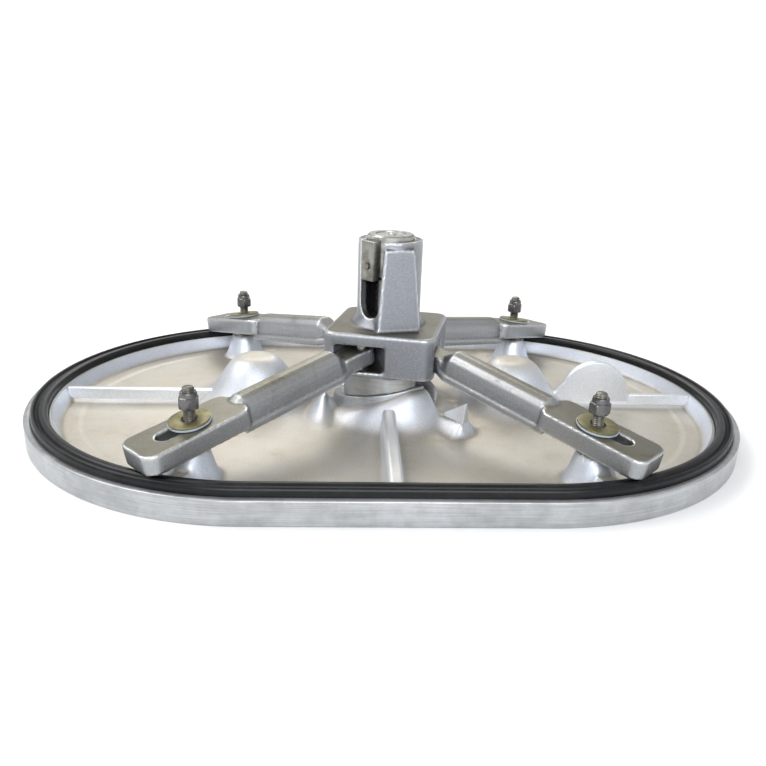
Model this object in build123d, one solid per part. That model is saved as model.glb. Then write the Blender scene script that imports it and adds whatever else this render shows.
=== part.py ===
from build123d import *
import math
import os

# Flush deck hatch cover with a four-arm dogging mechanism, lying on its deck face.
# Frame: origin at the centre of the deck face, +X along the cover, +Y across it,
# +Z out of the inner side. Millimetres and degrees. The arms are dogged (closed).

# ---- driving dimensions ----------------------------------------------------
COVER_LENGTH = 650.0
COVER_WIDTH = 431.0
RIM_HEIGHT = 20.5
LAND_WIDTH = 5.5            # bare metal land outside the gasket
GASKET_WIDTH = 14.5
GROOVE_FLOOR = 13.0         # z of the bottom of the gasket groove
GASKET_TOP = 27.0
GASKET_BACK = 24.0          # top of the seal's back, under its two beads
LIP_WIDTH = 2.5             # casting lip inside the gasket
PAN_FLOOR = 6.0
PAN_DRAFT = 18.0            # draft of the pan's side wall

STUD_X = 154.0
STUD_Y = 154.0
STUD_RADIUS = 4.75
STUD_TOP = 80.6
STUD_FOOT = 12.0
BOSS_TOP = 32.5
BOSS_TOP_RADIUS = 13.0
BOSS_DRAFT = 16.0

DOME_X = 124.0              # lifting cups, pressed up from the deck face
DOME_Y = 12.0
DOME_RADIUS = 45.0
DOME_TOP = 54.0
DOME_WALL = 5.0
LIFT_BAR_WIDTH = 10.0
LIFT_BAR_DEPTH = (2.0, 12.0)

RIB_TOP = 20.0              # the two long ribs; the two short ones are a little lower
RIB_WIDTH = 6.0
LEFT_RIB_Y = 4.0
RIGHT_RIB_Y = 7.0
CROSS_RIB_TOP = 18.0
CROSS_RIB_WIDTH = 8.0
LUG_X = 205.0               # round lug on the right-hand rib
LUG_RADIUS = 33.0
WEB_WIDTH = 18.0            # webs from the stud bosses out to the rim wall
WEB_TOP = 20.0
CASTING_ROOT = 3.0          # ribs and bosses start this high, inside the floor

PEDESTAL_TOP = 28.0
PEDESTAL_RADIUS = 50.0
PEDESTAL_FLARE = 32.0
RAMP_INNER = 37.0
RAMP_ROOT = 16.0
RAMP_TOP = 41.7
RAMP_END_AZ = 300.0         # top of the ramp
RAMP_STOP_AZ = 310.0        # far edge of the landing beyond it
SHOULDER_SPAN = 38.0        # degrees of cast shoulder before the top of each ramp
SHOULDER_WIDTH = 9.0
SHOULDER_TOP = (26.0, 39.0)
FOOT_SPAN = 85.0
FOOT_GAP = 0.3
FIN_AZ = 315.0              # short stiffening fin beside the front shoulder
FIN_RADIUS = 90.0
FIN_TOP = 40.0
FIN_FOOT = (26.0, 12.0)     # along and across, at the pan's floor
FIN_CREST = (9.0, 2.4)

HUB_TURN = -13.8            # the hub block's faces against the row axes
HUB_HALF = 50.0
HUB_CORNER = 11.0
HUB_BOTTOM = 52.0
HUB_TOP = 90.5
POCKET_BOTTOM = 56.2
POCKET_TOP = 79.5
POCKET_CLEARANCE = 1.3

TOWER_RADIUS = 29.0
TOWER_BORE = 21.2
TOWER_TOP = 168.0
TOWER_BORE_FLOOR = 98.0
SLOT_AZ = 229.0
SLOT_HALF = 12.5
SLOT_FOOT = 99.5
BUTTRESS_AZ = (-63.0, 117.0)
BUTTRESS_WIDTH = (40.0, 27.0)   # at the block and at the tower's top
BUTTRESS_FACE = (36.5, 30.3)    # the flat face's distance from the axis

JOURNAL_RADIUS = 15.0
JOURNAL_TOP = 33.0
BUSHING_OUTER = 18.0
BUSHING_BOTTOM = 19.0
THRUST_WASHER_RADIUS = 21.0
THRUST_WASHER_TOP = 30.0
RETAINER_RADIUS = 18.0
RETAINER_TOP = 31.5
RETAINER_DEPTH = 1.2
O_RING_Z = (11.2, 15.4)
O_RING_RADIUS = 1.2
O_RING_GROOVE = 12.6        # radius of the groove's floor
HEAD_SEAT = 0.3             # the spindle's head sits this far inside the deck face
SHAFT_RADIUS = 12.5
SPINDLE_HEAD_RADIUS = 22.0
SPINDLE_HEAD_TOP = 8.0
DRIVE_SQUARE = 14.0
DRIVE_DEPTH = 15.0
RUNNING_FIT = 0.06
CAP_BOTTOM = 136.0
CAP_TOP = 172.5
CAP_RADIUS = 21.05
CAP_BORE = 9.0
CAP_BORE_TOP = 164.0
SCREW_Z = 146.0
SCREW_START = 12.0          # inner end of the screw, from the axis
SCREW_RADIUS = 1.9
SCREW_HEAD_RADIUS = 3.0
SCREW_HEAD_HEIGHT = 1.4
KEY_AZ = 221.0
KEY_HALF = 7.75
KEY_BOTTOM = 133.0
KEY_TOP = 167.5
KEY_INNER = 17.0
KEY_OUTER = 28.5

PIN_CIRCLE = 41.0           # pivot pins' circle radius
PIN_LEAD = 8.0              # a pin's azimuth ahead of its own stud
PIN_RADIUS = 5.0
PIVOT_Z = 68.5
ARM_TURN = -1.414           # an arm's azimuth against its stud's azimuth
ARM_TILT = 9.6              # the arms fall outwards
EYE_RADIUS = 11.5
EYE_HALF = 7.5
EYE_PLAY = 0.35
NECK_HALF = 11.0
BAR_START = 24.0            # the bar swells out of the neck from here
BAR_FULL = 37.0             # and has its full section from here
BAR_END = 134.0
BAR_RADIUS = 13.0           # of its rounded top
BAR_TOP = 18.5
BAR_FLANGE = 15.0
BAR_BOTTOM = -9.0
PADDLE_START = 135.0
PADDLE_END = 227.0
PADDLE_HALF = 21.0
PADDLE_TOP = 13.6
PADDLE_THICKNESS = 16.0
PADDLE_CORNER = 10.0
ARM_SLOT_HALF = 6.5
ARM_SLOT_IN = 176.8
ARM_SLOT_OUT = 200.5

HUB_TRAVEL = 55.0           # degrees from dogged to free
HUB_DROP = 9.0
PIN_RATIO = -1.1961         # arm swing in the hub per degree of hub turn
ARM_LEVEL = 3.20            # degrees the arms level out over the travel

WASHER_RADIUS = 15.9
WASHER_BORE = 6.2
WASHER_THICKNESS = 1.5
WASHER_GAP = 0.4
NUT_BOTTOM = 64.0
NUT_TOP = 77.0
NUT_ACROSS_FLATS = 14.3
NUT_RIM = 74.0              # foot of the crimped collar
INSERT_RADIUS = 6.0

# ---- derived ---------------------------------------------------------------
STUD_CIRCLE = math.hypot(STUD_X, STUD_Y)
ARMS = {"front_left": 225.0, "front_right": 315.0, "back_right": 45.0, "back_left": 135.0}
ARM_BORE_TILT = ARM_TILT - ARM_LEVEL / 2
PAN_INSET = LAND_WIDTH + GASKET_WIDTH + LIP_WIDTH
RAMP_SLOPE = HUB_DROP / HUB_TRAVEL
RAMP_LENGTH_AZ = HUB_TRAVEL + FOOT_SPAN
RAMP_LOW = RAMP_TOP - RAMP_SLOPE * RAMP_LENGTH_AZ


def polar(radius, azimuth, z=0.0):
    a = math.radians(azimuth)
    return (radius * math.cos(a), radius * math.sin(a), z)


def stadium(inset, z0, z1, taper=0.0):
    """A stadium-shaped plate, inset from the cover's outline, from z0 to z1."""
    outline = SlotOverall(COVER_LENGTH - 2 * inset, COVER_WIDTH - 2 * inset)
    direction = (0, 0, 1) if z1 > z0 else (0, 0, -1)
    return extrude(Plane.XY.offset(z0) * outline, abs(z1 - z0), dir=direction, taper=taper)


def rod(radius, z0, z1, x=0.0, y=0.0):
    return Pos(x, y, z0) * Cylinder(radius, z1 - z0, align=(Align.CENTER, Align.CENTER, Align.MIN))


def ring(outer, inner, z0, z1, x=0.0, y=0.0):
    return rod(outer, z0, z1, x, y) - rod(inner, z0 - 1, z1 + 1, x, y)


def block(x0, x1, y0, y1, z0, z1):
    size = (x1 - x0, y1 - y0, z1 - z0)
    return Pos(x0, y0, z0) * Box(*size, align=(Align.MIN, Align.MIN, Align.MIN))


def ramp_sector(az0, az1, inner, outer, low, high0, high1, steps):
    """An annular sector whose upper or lower face climbs evenly from high0 to high1."""
    sections = []
    for i in range(steps + 1):
        az = az0 + (az1 - az0) * i / steps
        edge = high0 + (high1 - high0) * i / steps
        corners = [polar(inner, az, low), polar(outer, az, low),
                   polar(outer, az, edge), polar(inner, az, edge)]
        sections.append(Face(Wire.make_polygon([Vector(*c) for c in corners], close=True)))
    return loft(sections, ruled=True)


def in_hub_frame(shape):
    return Rot(0, 0, HUB_TURN) * shape


# ---- cover -----------------------------------------------------------------
def pan_ribs():
    wall = COVER_LENGTH / 2 - PAN_INSET
    front = COVER_WIDTH / 2 - PAN_INSET
    half, cross = RIB_WIDTH / 2, CROSS_RIB_WIDTH / 2
    ribs = block(-wall, -60, LEFT_RIB_Y - half, LEFT_RIB_Y + half, 0, RIB_TOP)
    ribs += block(60, wall, RIGHT_RIB_Y - half, RIGHT_RIB_Y + half, 0, RIB_TOP)
    ribs += block(-cross, cross, -front, -40, 0, CROSS_RIB_TOP)
    ribs += block(-cross, cross, 40, front, 0, CROSS_RIB_TOP)
    lug = Pos(LUG_X, RIGHT_RIB_Y + half, RIB_TOP) * extrude(Plane.XZ * Circle(LUG_RADIUS), RIB_WIDTH)
    below = block(LUG_X - 50, LUG_X + 50, 0, 20, -20, CASTING_ROOT)
    return ribs + (lug - below)


def lifting_cup(side):
    height = DOME_TOP - PAN_FLOOR
    outer = loft([Plane.XY.offset(z) * Circle(r) for z, r in cup_steps(DOME_RADIUS, PAN_FLOOR - 3, height + 3)])
    return Pos(side * DOME_X, DOME_Y, 0) * outer


def cup_steps(radius, z0, height):
    """Radii of a rounded cup at a few heights: full at the foot, narrow and flat at the top."""
    steps = ((0.0, 1.0), (0.35, 0.9), (0.7, 0.7), (1.0, 0.36))
    return [(z0 + height * h, radius * r) for h, r in steps]


def cup_hollow(side):
    height = DOME_TOP - DOME_WALL
    steps = cup_steps(DOME_RADIUS - DOME_WALL, 0.0, height)
    hollow = loft([Plane.XY.offset(z) * Circle(r - 1) for z, r in steps])
    bar = block(-DOME_RADIUS, DOME_RADIUS, -LIFT_BAR_WIDTH / 2, LIFT_BAR_WIDTH / 2, *LIFT_BAR_DEPTH)
    return Pos(side * DOME_X, DOME_Y, 0) * (hollow - bar)


def stud_boss(azimuth):
    x, y, _ = polar(STUD_CIRCLE, azimuth)
    height = BOSS_TOP - CASTING_ROOT
    foot_radius = BOSS_TOP_RADIUS + height * math.tan(math.radians(BOSS_DRAFT))
    column = Pos(x, y, CASTING_ROOT) * Cone(foot_radius, BOSS_TOP_RADIUS, height,
                                            align=(Align.CENTER, Align.CENTER, Align.MIN))
    # web from the boss out to the rim wall
    end_centre = math.copysign((COVER_LENGTH - COVER_WIDTH) / 2, x)
    outward = math.degrees(math.atan2(y, x - end_centre))
    reach = COVER_WIDTH / 2 - PAN_INSET - math.hypot(x - end_centre, y)
    web = block(0, reach, -WEB_WIDTH / 2, WEB_WIDTH / 2, CASTING_ROOT, WEB_TOP)
    return column + Pos(x, y, 0) * Rot(0, 0, outward) * web


def fin():
    """A thin drafted fin that stands off the drum."""
    foot = Plane.XY.offset(CASTING_ROOT) * Pos(FIN_RADIUS, 0) * Rectangle(*FIN_FOOT)
    crest = Plane.XY.offset(FIN_TOP) * Pos(FIN_RADIUS + 3, 0) * Rectangle(*FIN_CREST)
    return Rot(0, 0, FIN_AZ) * loft([foot, crest])


def pedestal():
    foot = PEDESTAL_RADIUS + PEDESTAL_FLARE
    root = RAMP_ROOT - CASTING_ROOT
    body = Pos(0, 0, CASTING_ROOT) * Cone(foot, PEDESTAL_RADIUS, root,
                                          align=(Align.CENTER, Align.CENTER, Align.MIN))
    body += rod(RAMP_INNER, CASTING_ROOT, PEDESTAL_TOP)
    for start in (0.0, 180.0):
        top_az = RAMP_END_AZ - start
        body += ramp_sector(top_az - RAMP_LENGTH_AZ, top_az, RAMP_INNER - 1, PEDESTAL_RADIUS,
                            root, RAMP_LOW, RAMP_TOP, 20)
        body += ramp_sector(top_az, RAMP_STOP_AZ - start, RAMP_INNER - 1, PEDESTAL_RADIUS,
                            root, RAMP_TOP, RAMP_TOP, 2)
        # shoulder outside the upper end of the ramp
        body += ramp_sector(top_az - SHOULDER_SPAN, RAMP_STOP_AZ - start, PEDESTAL_RADIUS - 3,
                            PEDESTAL_RADIUS + SHOULDER_WIDTH, CASTING_ROOT, *SHOULDER_TOP, 6)
    return body + fin()


def cover_casting():
    cover = stadium(0, 0, RIM_HEIGHT)
    cover -= stadium(PAN_INSET, RIM_HEIGHT, PAN_FLOOR, taper=PAN_DRAFT)
    groove = stadium(LAND_WIDTH, GROOVE_FLOOR, RIM_HEIGHT + 1)
    groove -= stadium(LAND_WIDTH + GASKET_WIDTH, GROOVE_FLOOR - 1, RIM_HEIGHT + 2)
    cover -= groove
    cover += pan_ribs()
    for azimuth in ARMS.values():
        cover += stud_boss(azimuth)
    for side in (-1, 1):
        cover += lifting_cup(side)
    cover += pedestal()
    for side in (-1, 1):
        cover -= cup_hollow(side)
    cover -= rod(JOURNAL_RADIUS + RUNNING_FIT, -1, 60)
    cover -= rod(SPINDLE_HEAD_RADIUS + 0.08, -1, SPINDLE_HEAD_TOP)
    cover -= rod(RAMP_INNER, PEDESTAL_TOP, 60)
    cover -= rod(BUSHING_OUTER, BUSHING_BOTTOM, PEDESTAL_TOP + 1)
    for azimuth in ARMS.values():
        x, y, _ = polar(STUD_CIRCLE, azimuth)
        cover -= rod(STUD_RADIUS, STUD_FOOT, STUD_TOP, x, y)
    return cover


def gasket():
    seal = stadium(LAND_WIDTH, GROOVE_FLOOR, GASKET_BACK) - stadium(LAND_WIDTH + GASKET_WIDTH, 0, 40)
    seal += stadium(LAND_WIDTH + 0.6, GASKET_BACK - 1, GASKET_TOP) - stadium(LAND_WIDTH + 3.6, 0, 40)
    seal += stadium(LAND_WIDTH + 6.6, GASKET_BACK - 1, GASKET_TOP) - stadium(
        LAND_WIDTH + GASKET_WIDTH - 0.6, 0, 40)
    return seal


# ---- spindle ---------------------------------------------------------------
def spindle():
    shaft = rod(SPINDLE_HEAD_RADIUS, HEAD_SEAT, SPINDLE_HEAD_TOP - 0.1)
    shaft += rod(JOURNAL_RADIUS, HEAD_SEAT, JOURNAL_TOP)
    shaft += rod(SHAFT_RADIUS, HEAD_SEAT, CAP_BOTTOM)
    shaft += rod(CAP_BORE, HEAD_SEAT, CAP_BORE_TOP)
    half = DRIVE_SQUARE / 2
    shaft -= block(-half, half, -half, half, -1, HEAD_SEAT + DRIVE_DEPTH)
    for z in O_RING_Z:
        shaft -= ring(JOURNAL_RADIUS + 1, O_RING_GROOVE, z - 1.5, z + 1.5)
    shaft -= ring(JOURNAL_RADIUS + 1, JOURNAL_RADIUS - RETAINER_DEPTH, THRUST_WASHER_TOP, RETAINER_TOP)
    return shaft


def o_rings():
    rings = []
    for z in O_RING_Z:
        rings.append(Pos(0, 0, z) * Torus(O_RING_GROOVE + O_RING_RADIUS, O_RING_RADIUS))
    return Compound(rings)


def spindle_cap():
    cap = rod(CAP_RADIUS, CAP_BOTTOM, CAP_TOP)
    cap = chamfer(cap.edges().sort_by(Axis.Z)[-1], 1.5)
    cap -= rod(CAP_BORE, CAP_BOTTOM - 1, CAP_BORE_TOP)
    cap -= keyway(KEY_HALF)
    cap -= screw_hole()
    return cap


def keyway(half):
    return Rot(0, 0, KEY_AZ) * block(KEY_INNER, CAP_RADIUS + 12, -half, half, KEY_BOTTOM, KEY_TOP)


def screw_hole():
    return Rot(0, 0, KEY_AZ) * Pos(SCREW_START - 1, 0, SCREW_Z) * Rot(0, 90, 0) * rod(SCREW_RADIUS, 0, 30)


def drive_key():
    key = Rot(0, 0, KEY_AZ) * block(KEY_INNER, KEY_OUTER, -KEY_HALF, KEY_HALF, KEY_BOTTOM, KEY_TOP)
    return key - screw_hole()


def key_set_screw():
    screw = Pos(SCREW_START, 0, SCREW_Z) * Rot(0, 90, 0) * rod(SCREW_RADIUS, 0, KEY_OUTER - SCREW_START)
    screw += Pos(KEY_OUTER, 0, SCREW_Z) * Rot(0, 90, 0) * rod(SCREW_HEAD_RADIUS, 0, SCREW_HEAD_HEIGHT)
    return Rot(0, 0, KEY_AZ) * screw


# ---- hub -------------------------------------------------------------------
def arm_pocket(azimuth):
    """Room for one arm's eye and neck over its whole swing in the hub."""
    pin = azimuth + PIN_LEAD
    px, py, _ = polar(PIN_CIRCLE, pin)
    swing = -PIN_RATIO * HUB_TRAVEL
    out0 = azimuth + ARM_TURN - 1.5
    out1 = azimuth + ARM_TURN + swing + 1.5
    half = EYE_RADIUS + POCKET_CLEARANCE
    a = Vector(*polar(half, out0 - 90))
    d = Vector(*polar(half, out1 + 90))
    b = a + Vector(*polar(60, out0))
    c = d + Vector(*polar(60, out1))
    fan = Face(Wire.make_polygon([a, b, c, d], close=True))
    height = POCKET_TOP - POCKET_BOTTOM
    room = extrude(Pos(px, py, POCKET_BOTTOM) * fan, height, dir=(0, 0, 1))
    return room + rod(half, POCKET_BOTTOM, POCKET_TOP, px, py)


def buttress(azimuth):
    """A tapered rib with a flat face, standing against the tower."""
    sections = []
    for z, width, face in zip((HUB_TOP - 1, TOWER_TOP - 6), BUTTRESS_WIDTH, BUTTRESS_FACE):
        sections.append(Plane.XY.offset(z) * Pos(face / 2, 0) * Rectangle(face, width))
    return Rot(0, 0, azimuth) * loft(sections)


def hub():
    outline = RectangleRounded(2 * HUB_HALF, 2 * HUB_HALF, HUB_CORNER)
    body = extrude(Plane.XY.offset(HUB_BOTTOM) * outline, HUB_TOP - HUB_BOTTOM)
    body = chamfer(body.edges().group_by(Axis.Z)[-1], 1.5)
    body += rod(TOWER_RADIUS, HUB_BOTTOM, TOWER_TOP)
    body += Pos(0, 0, HUB_TOP) * Cone(TOWER_RADIUS + 5, TOWER_RADIUS, 8,
                                      align=(Align.CENTER, Align.CENTER, Align.MIN))
    for azimuth in BUTTRESS_AZ:
        body += buttress(azimuth)
    body = in_hub_frame(body)
    foot_low = RAMP_TOP + FOOT_GAP - RAMP_SLOPE * FOOT_SPAN
    for start in (0.0, 180.0):
        top_az = RAMP_END_AZ - start
        body += ramp_sector(top_az - FOOT_SPAN, top_az, RAMP_INNER + 1, PEDESTAL_RADIUS - 0.5,
                            HUB_BOTTOM + 2, foot_low, RAMP_TOP + FOOT_GAP, 12)
    body -= rod(SHAFT_RADIUS + RUNNING_FIT, 0, TOWER_TOP)
    body -= rod(TOWER_BORE, TOWER_BORE_FLOOR, TOWER_TOP + 1)
    for azimuth in ARMS.values():
        body -= arm_pocket(azimuth)
        px, py, _ = polar(PIN_CIRCLE, azimuth + PIN_LEAD)
        body -= rod(PIN_RADIUS + RUNNING_FIT, HUB_BOTTOM - 1, HUB_TOP - 4, px, py)
    # key slot, open at the top and round at the bottom
    slot = Rot(0, -90, 0) * extrude(SlotCenterToCenter(2 * (TOWER_TOP - SLOT_FOOT), 2 * SLOT_HALF), -60)
    slot = Pos(16, 0, TOWER_TOP + SLOT_HALF) * slot
    return body - Rot(0, 0, SLOT_AZ) * slot


# ---- arms ------------------------------------------------------------------
def place_arm(shape, azimuth):
    """Takes a shape from the arm's own frame (pivot at the origin, +X outwards) to the row frame."""
    px, py, _ = polar(PIN_CIRCLE, azimuth + PIN_LEAD, PIVOT_Z)
    return Pos(px, py, PIVOT_Z) * Rot(0, 0, azimuth + ARM_TURN) * Rot(0, ARM_TILT, 0) * shape


def bar_section(x, top, half, flange, bottom):
    """Section of an arm's bar at x: a round top on straight sides, with a flange at the foot."""
    crown = [(half * math.cos(math.radians(a)), top - half + half * math.sin(math.radians(a)))
             for a in (75, 50, 25, 0)]
    side = crown + [(half + 0.4, bottom + 6.0), (flange, bottom + 5.8), (flange, bottom)]
    points = side + [(-y, z) for y, z in reversed(side)]
    return Face(Wire.make_polygon([Vector(x, y, z) for y, z in points], close=True))


def arm(azimuth):
    eye = rod(EYE_RADIUS, -EYE_HALF, EYE_HALF)
    neck = block(0, BAR_START + 4, -NECK_HALF, NECK_HALF, -EYE_HALF, EYE_HALF)
    root = bar_section(BAR_START, EYE_HALF, NECK_HALF - 2, NECK_HALF, -EYE_HALF)
    full = bar_section(BAR_FULL, BAR_TOP, BAR_RADIUS, BAR_FLANGE, BAR_BOTTOM)
    low = bar_section(PADDLE_START + 6, PADDLE_TOP - 0.5, BAR_RADIUS, BAR_FLANGE, BAR_BOTTOM)
    bar = extrude(full, BAR_END - BAR_FULL, dir=(1, 0, 0))
    swell = loft([root, full], ruled=True)
    fall = loft([Pos(BAR_END - BAR_FULL, 0, 0) * full, low], ruled=True)
    paddle = block(PADDLE_START, PADDLE_END, -PADDLE_HALF, PADDLE_HALF,
                   PADDLE_TOP - PADDLE_THICKNESS, PADDLE_TOP)
    paddle = fillet(paddle.edges().filter_by(Axis.Z), PADDLE_CORNER)
    body = eye + neck + swell + bar + fall + paddle
    slot = Pos((ARM_SLOT_IN + ARM_SLOT_OUT) / 2, 0, -20) * extrude(
        SlotCenterToCenter(ARM_SLOT_OUT - ARM_SLOT_IN, 2 * ARM_SLOT_HALF), 50)
    body -= slot
    bore = Rot(0, -ARM_BORE_TILT, 0) * rod(PIN_RADIUS + EYE_PLAY, -20, 20)
    return place_arm(body - bore, azimuth)


def pivot_pin(azimuth):
    px, py, _ = polar(PIN_CIRCLE, azimuth + PIN_LEAD)
    return rod(PIN_RADIUS, HUB_BOTTOM + 0.3, HUB_TOP - 4.3, px, py)


# ---- guide studs, nuts and washers -----------------------------------------
def stud_places():
    return [polar(STUD_CIRCLE, azimuth) for azimuth in ARMS.values()]


def guide_studs():
    studs = []
    for x, y, _ in stud_places():
        stud = rod(STUD_RADIUS, STUD_FOOT, STUD_TOP, x, y)
        studs.append(chamfer(stud.edges().sort_by(Axis.Z)[-1], 1.0))
    return Compound(studs)


def lock_nuts():
    nuts = []
    for x, y, _ in stud_places():
        hexagon = Plane.XY.offset(NUT_BOTTOM) * Pos(x, y) * RegularPolygon(
            NUT_ACROSS_FLATS / 2, 6, major_radius=False)
        nut = extrude(hexagon, NUT_RIM - 1.5 - NUT_BOTTOM)
        nut += Pos(x, y, NUT_RIM - 1.5) * Cone(NUT_ACROSS_FLATS / 2, 6.6, NUT_TOP - NUT_RIM + 1.5,
                                               align=(Align.CENTER, Align.CENTER, Align.MIN))
        nut -= rod(STUD_RADIUS, 0, 100, x, y)
        nut -= rod(INSERT_RADIUS, NUT_RIM - 1, NUT_TOP - 0.8, x, y)
        nuts.append(nut)
    return Compound(nuts)


def nut_inserts():
    return Compound([ring(INSERT_RADIUS, STUD_RADIUS, NUT_RIM - 1, NUT_TOP - 0.8, x, y)
                     for x, y, _ in stud_places()])


def washer(azimuth, level):
    """One washer lying on the sloping arm, centred on its stud; level 0 is nearest the arm."""
    x, y, _ = polar(STUD_CIRCLE, azimuth)
    px, py, _ = polar(PIN_CIRCLE, azimuth + PIN_LEAD)
    run = math.hypot(x - px, y - py)
    tilt = math.radians(ARM_TILT)
    seat = PIVOT_Z - run * math.tan(tilt) + (PADDLE_TOP + WASHER_GAP) / math.cos(tilt)
    z0 = level * WASHER_THICKNESS
    outer = WASHER_RADIUS if level else WASHER_RADIUS + 0.6
    disc = ring(outer, WASHER_BORE, z0, z0 + WASHER_THICKNESS)
    return Pos(x, y, seat) * Rot(0, 0, azimuth + ARM_TURN) * Rot(0, ARM_TILT, 0) * disc


def export_all():
    os.makedirs("parts", exist_ok=True)
    nodes = {
        "cover_casting": cover_casting(),
        "gasket": gasket(),
        "spindle": spindle(),
        "spindle_bushing": ring(BUSHING_OUTER, JOURNAL_RADIUS + RUNNING_FIT, BUSHING_BOTTOM, PEDESTAL_TOP),
        "spindle_o_rings": o_rings(),
        "thrust_washer": ring(THRUST_WASHER_RADIUS, JOURNAL_RADIUS + 0.1,
                              PEDESTAL_TOP + 0.1, THRUST_WASHER_TOP),
        "retaining_ring": ring(RETAINER_RADIUS, JOURNAL_RADIUS - RETAINER_DEPTH,
                               THRUST_WASHER_TOP, RETAINER_TOP),
        "spindle_cap": spindle_cap(),
        "drive_key": drive_key(),
        "key_set_screw": key_set_screw(),
        "hub": hub(),
        "guide_studs": guide_studs(),
        "lock_nuts": lock_nuts(),
        "nut_inserts": nut_inserts(),
    }
    for name, azimuth in ARMS.items():
        nodes["arm_" + name] = arm(azimuth)
        nodes["pivot_pin_" + name] = pivot_pin(azimuth)
        nodes["nylon_washer_" + name] = washer(azimuth, 0)
        nodes["steel_washer_" + name] = washer(azimuth, 1)
    for name, shape in nodes.items():
        export_step(shape, "parts/" + name + ".step")


export_all()
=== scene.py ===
import math

import bmesh
import bpy
import numpy as np
from mathutils import Matrix, Vector


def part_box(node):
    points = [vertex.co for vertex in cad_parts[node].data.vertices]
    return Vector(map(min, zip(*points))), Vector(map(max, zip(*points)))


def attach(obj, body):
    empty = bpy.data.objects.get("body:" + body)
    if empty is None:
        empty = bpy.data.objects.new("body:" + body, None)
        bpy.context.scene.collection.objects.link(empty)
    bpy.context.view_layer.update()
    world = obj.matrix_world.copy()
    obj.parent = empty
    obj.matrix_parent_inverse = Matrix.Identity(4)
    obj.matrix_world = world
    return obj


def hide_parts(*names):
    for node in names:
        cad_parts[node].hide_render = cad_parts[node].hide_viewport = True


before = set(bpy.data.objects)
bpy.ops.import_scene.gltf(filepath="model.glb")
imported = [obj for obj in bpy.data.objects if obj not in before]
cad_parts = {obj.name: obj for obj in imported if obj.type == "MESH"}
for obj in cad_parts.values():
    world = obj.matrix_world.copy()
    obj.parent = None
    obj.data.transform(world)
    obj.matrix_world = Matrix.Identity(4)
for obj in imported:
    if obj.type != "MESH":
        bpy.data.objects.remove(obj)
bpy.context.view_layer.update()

# ---- camera, light and floor -------------------------------------------------
# The cover lies on its deck face on a pale studio floor, seen from a little above its
# long front side. Large soft boxes stand in front, to the left and behind it.
EYE = Vector((-0.0396, -0.66997, 0.27252))
EYE_YAW, EYE_PITCH, EYE_ROLL = -0.055, 0.347, 0.034
FOCAL_LENGTH = 34.97
SOFT_BOXES = {
    # name: (place, aim, width, height, power, colour)
    "front_box": ((0.1, -2.6, 1.5), (0, 0, 0.03), 2.6, 1.5, 62.0, (0.93, 0.96, 1.0)),
    "left_box": ((-1.7, 0.2, 2.0), (0, 0, 0.03), 1.6, 1.6, 31.0, (1.0, 0.99, 0.97)),
    "back_box": ((-0.1, 2.5, 2.0), (0, 0, 0.03), 2.2, 1.2, 26.0, (1.0, 0.98, 0.94)),
}
SKY_STOPS = [(0.0, (0.50, 0.51, 0.53, 1)), (0.3, (0.62, 0.63, 0.64, 1)), (1.0, (0.72, 0.71, 0.69, 1))]
BACKDROP = (1.05, 1.05, 1.05, 1.0)
FLOOR_REACH, FLOOR_SIDES = 14.0, 48
FLOOR_GLOW_REACH = (0.7, 2.2)      # the floor glows brighter, as painted light, between these distances from the centre


def aim_matrix(right, up, place):
    back = right.cross(up)
    turn = Matrix((right, up, back)).transposed().to_4x4()
    return Matrix.Translation(place) @ turn


forward = Vector((-math.sin(EYE_YAW) * math.cos(EYE_PITCH), math.cos(EYE_YAW) * math.cos(EYE_PITCH),
                  -math.sin(EYE_PITCH)))
level = Vector((math.cos(EYE_YAW), math.sin(EYE_YAW), 0.0))
upright = level.cross(forward)
camera = bpy.data.objects.new("camera", bpy.data.cameras.new("camera"))
bpy.context.scene.collection.objects.link(camera)
camera.data.lens, camera.data.sensor_width = FOCAL_LENGTH, 36.0
camera.matrix_world = aim_matrix(level * math.cos(EYE_ROLL) + upright * math.sin(EYE_ROLL),
                                 upright * math.cos(EYE_ROLL) - level * math.sin(EYE_ROLL), EYE)
bpy.context.scene.camera = camera
bpy.context.scene.view_settings.view_transform = "Standard"

for box_name, (place, aim, width, height, power, colour) in SOFT_BOXES.items():
    lamp = bpy.data.lights.new(box_name, "AREA")
    lamp.shape, lamp.size, lamp.size_y = "RECTANGLE", width, height
    lamp.energy, lamp.color = power, colour
    holder = bpy.data.objects.new(box_name, lamp)
    holder.location = place
    holder.rotation_euler = (Vector(aim) - Vector(place)).to_track_quat("-Z", "Y").to_euler()
    bpy.context.scene.collection.objects.link(holder)


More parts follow.
